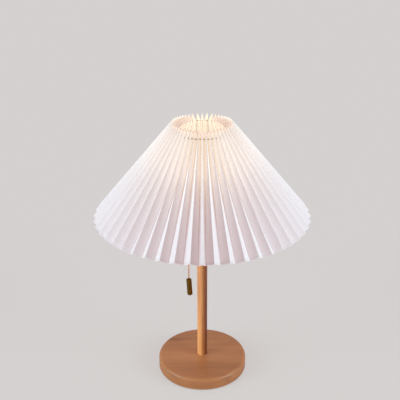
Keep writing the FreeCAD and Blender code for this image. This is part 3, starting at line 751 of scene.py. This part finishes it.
def wood(name, light, dark, fineness, stretch, streak_at):
    f = Finish(name)
    figure = f.noise(fineness, detail=4.0, roughness=0.55, stretch=stretch)
    pores = f.noise(420.0, detail=3.0, roughness=0.6, stretch=tuple(2 * s for s in stretch))
    streak = f.between(figure, streak_at, streak_at + streak_width)
    tone = f.mix(f.ramp(figure, (0.3, 0.0), (0.7, 1.0)), light, dark)
    streaked = f.mix(streak_strength * streak, tone, dimmed(dark, 0.45))
    colour = f.mix(pore_strength * pores, streaked, dimmed(dark, 0.5))
    return f.surface(Base_Color=colour, Roughness=0.34 + 0.16 * pores,
                     Coat_Weight=0.12, Coat_Roughness=0.25,
                     Normal=f.bump(pores, distance=0.00008, strength=0.5))


@wear("stem")
def stem_wood():
    return wood("stem_wood", light=(0.52, 0.20, 0.050), dark=(0.30, 0.090, 0.021),
                fineness=170.0, stretch=(1, 1, 40), streak_at=0.58)


@wear("base_disc")
def disc_wood():
    return wood("disc_wood", light=(0.58, 0.25, 0.09), dark=(0.40, 0.15, 0.05),
                fineness=55.0, stretch=(16, 1.6, 1), streak_at=0.62)


# %% [markdown]
# ## Metals
#
# Turned and spun metal shows fine rings round its axis, drawn wire shows nothing but a soft
# gloss, and old brass is darker in patches.  An anisotropic shader would draw out the gloss of
# turned metal, but one number for a whole piece can't follow its parts.  A relief of lines that
# run round Z can.  One function makes all metals: a base colour, a stain, and those lines.

# %% Metal finishes
def metal(name, colour, stain, rough, lines=0.0, tarnish=0.3):
    f = Finish(name)
    patches = f.noise(120.0, detail=4.0, roughness=0.6)
    fine = f.noise(1800.0, detail=2.0)
    ringed = f.noise(900.0, detail=2.0, stretch=(60, 60, 1))
    tone = f.mix(f.ramp(patches, (0.45, 0.0), (0.75, tarnish)), colour, stain)
    roughness = rough + 0.12 * patches + 0.08 * fine
    relief = f.bump(ringed * lines + fine * 0.2, distance=0.00004, strength=0.6)
    return f.surface(Base_Color=tone, Metallic=1.0, Roughness=roughness, Normal=relief)


@wear("holder_shell", "holder_cup", "stem_check_ring", "shade_ring", "chain_guide")
def holder_brass():
    return metal("holder_brass", (0.62, 0.42, 0.17), (0.32, 0.20, 0.08), rough=0.28, lines=0.7)


@wear("terminal_screws", "centre_contact")
def bright_brass():
    return metal("bright_brass", (0.80, 0.60, 0.28), (0.50, 0.33, 0.14), rough=0.22)


@wear("chain_strand", "chain_top", "inner_chain")
def chain_brass():
    return metal("chain_brass", (0.85, 0.42, 0.21), (0.42, 0.18, 0.07), rough=0.16, tarnish=0.5)


@wear("chain_pull_bar")
def pull_brass():
    return metal("aged_bar_brass", (0.20, 0.11, 0.014), (0.09, 0.045, 0.005), rough=0.34,
                 tarnish=0.7)


@wear("lamp_pipe", "lower_pipe_nut", "upper_pipe_nut", "lower_washer", "weight_screws")
def plated_steel():
    return metal("plated_steel", (0.66, 0.66, 0.67), (0.40, 0.39, 0.37), rough=0.30, lines=1.0)


@wear("switch_axle", "switch_lever", "lever_spring")
def switch_steel():
    return metal("switch_steel", (0.52, 0.52, 0.54), (0.30, 0.29, 0.28), rough=0.28)


@wear("screw_shell", "bulb_cap")
def rolled_aluminium():
    return metal("rolled_aluminium", (0.80, 0.80, 0.80), (0.55, 0.55, 0.54), rough=0.25,
                 lines=1.0)


@wear("bulb_contact")
def solder():
    return metal("solder", (0.64, 0.64, 0.62), (0.40, 0.40, 0.39), rough=0.38)


# %% [markdown]
# The weight in the base is rough from its sand mould, and the wire carrier is enamelled, with
# the faint dimples of a sprayed coat.  Neither shows a bare metal's gloss, so each is made by
# itself.

# %% Cast iron and enamel
@wear("base_weight")
def cast_iron():
    f = Finish("cast_iron")
    sand = f.noise(700.0, detail=5.0, roughness=0.7)
    colour = f.mix(sand, (0.05, 0.05, 0.055), (0.16, 0.155, 0.15))
    return f.surface(Base_Color=colour, Metallic=0.6, Roughness=0.55 + 0.25 * sand,
                     Normal=f.bump(sand, distance=0.0004, strength=0.8))


@wear("carrier_fitter", "carrier_arms", "carrier_ring")
def white_enamel():
    f = Finish("white_enamel")
    peel = f.noise(500.0, detail=2.0)
    colour = f.mix(peel, (0.86, 0.85, 0.82), (0.80, 0.79, 0.76))
    return f.surface(Base_Color=colour, Roughness=0.30 + 0.1 * peel, Coat_Weight=0.3,
                     Normal=f.bump(peel, distance=0.00005, strength=0.4))


# %% [markdown]
# ## Mouldings, felt and fibre board
#
# These are hidden while the lamp is whole, but show when the shade is lifted or the lamp is
# turned over.  A flat grey would be enough for the picture, but not for a part that is looked
# at from all sides, so each gets its own grain.

# %% Mouldings
def moulding(name, colour, rough, coat=0.0):
    f = Finish(name)
    flow = f.noise(260.0, detail=3.0, roughness=0.6)
    return f.surface(Base_Color=f.mix(flow, colour, dimmed(colour, 0.75)),
                     Roughness=rough + 0.12 * flow, Coat_Weight=coat,
                     Normal=f.bump(flow, distance=0.00006, strength=0.5))


@wear("switch_body")
def switch_moulding():
    return moulding("switch_moulding", (0.055, 0.045, 0.04), rough=0.35, coat=0.2)


@wear("switch_rotor")
def rotor_moulding():
    return moulding("rotor_moulding", (0.72, 0.66, 0.55), rough=0.45)


@wear("cord_inlet_bush")
def bush_moulding():
    return moulding("bush_moulding", (0.09, 0.07, 0.055), rough=0.42)


@wear("bulb_insulator")
def insulator_glass():
    return moulding("insulator_glass", (0.02, 0.02, 0.03), rough=0.12, coat=0.5)


# %% Fibre board and felt
@wear("holder_liner")
def fibre_board():
    f = Finish("fibre_board")
    fibres = f.noise(900.0, detail=4.0, roughness=0.7, stretch=(3, 3, 1))
    colour = f.mix(fibres, (0.20, 0.13, 0.075), (0.36, 0.26, 0.16))
    return f.surface(Base_Color=colour, Roughness=0.9, Normal=f.bump(fibres, distance=0.0001))


@wear("base_pad")
def felt():
    f = Finish("felt")
    fuzz = f.noise(1400.0, detail=4.0, roughness=0.8)
    matting = f.noise(180.0, detail=3.0, roughness=0.6)
    colour = f.mix(0.6 * fuzz + 0.4 * matting, (0.035, 0.075, 0.045), (0.12, 0.20, 0.13))
    return f.surface(Base_Color=colour, Roughness=1.0, Specular_IOR_Level=0.05, Sheen_Weight=0.4,
                     Normal=f.bump(fuzz, distance=0.0004, strength=0.9))


# %% [markdown]
# ## The bulb's glass
#
# The envelope is opal: its inner coat scatters the light, so the whole glass glows, less at its
# neck, and hides the rods inside.  A frosted glass shader round a lamp would do it too, but
# with much noise.  A plain coloured surface that gives light has none.

# %% Bulb finishes
neck_fade = (glow_centre.z - 0.055, glow_centre.z - 0.02)       # heights between which it dims


@wear("bulb_glass")
def opal_glass():
    f = Finish("opal_glass")
    height = f.node("SeparateXYZ", {}, {0: f.place}, "Z")
    bright = 0.25 + 0.7 * f.between(height, *neck_fade) + 0.05 * f.noise(150.0, detail=2.0)
    light = f.mix(bright, (0.35, 0.20, 0.08), (1.0, 0.86, 0.62))
    return f.surface(Base_Color=(0.92, 0.90, 0.86), Roughness=0.18, Emission_Color=light,
                     Emission_Strength=1.3)


@wear("bulb_stem")
def clear_glass():
    f = Finish("clear_glass")
    drawn = f.noise(200.0, detail=2.0, stretch=(1, 1, 8))
    colour = f.mix(drawn, (0.95, 0.97, 0.97), (0.88, 0.91, 0.91))
    return f.surface(Base_Color=colour, Roughness=0.05, Transmission_Weight=1.0, IOR=1.47)


@wear("bulb_filaments")
def lit_rods():
    f = Finish("lit_rods")
    light = f.mix(f.noise(900.0, detail=2.0), (1.0, 0.70, 0.32), (1.0, 0.82, 0.48))
    return f.surface(Base_Color=(0.9, 0.7, 0.3), Roughness=0.6, Emission_Color=light,
                     Emission_Strength=3.0)
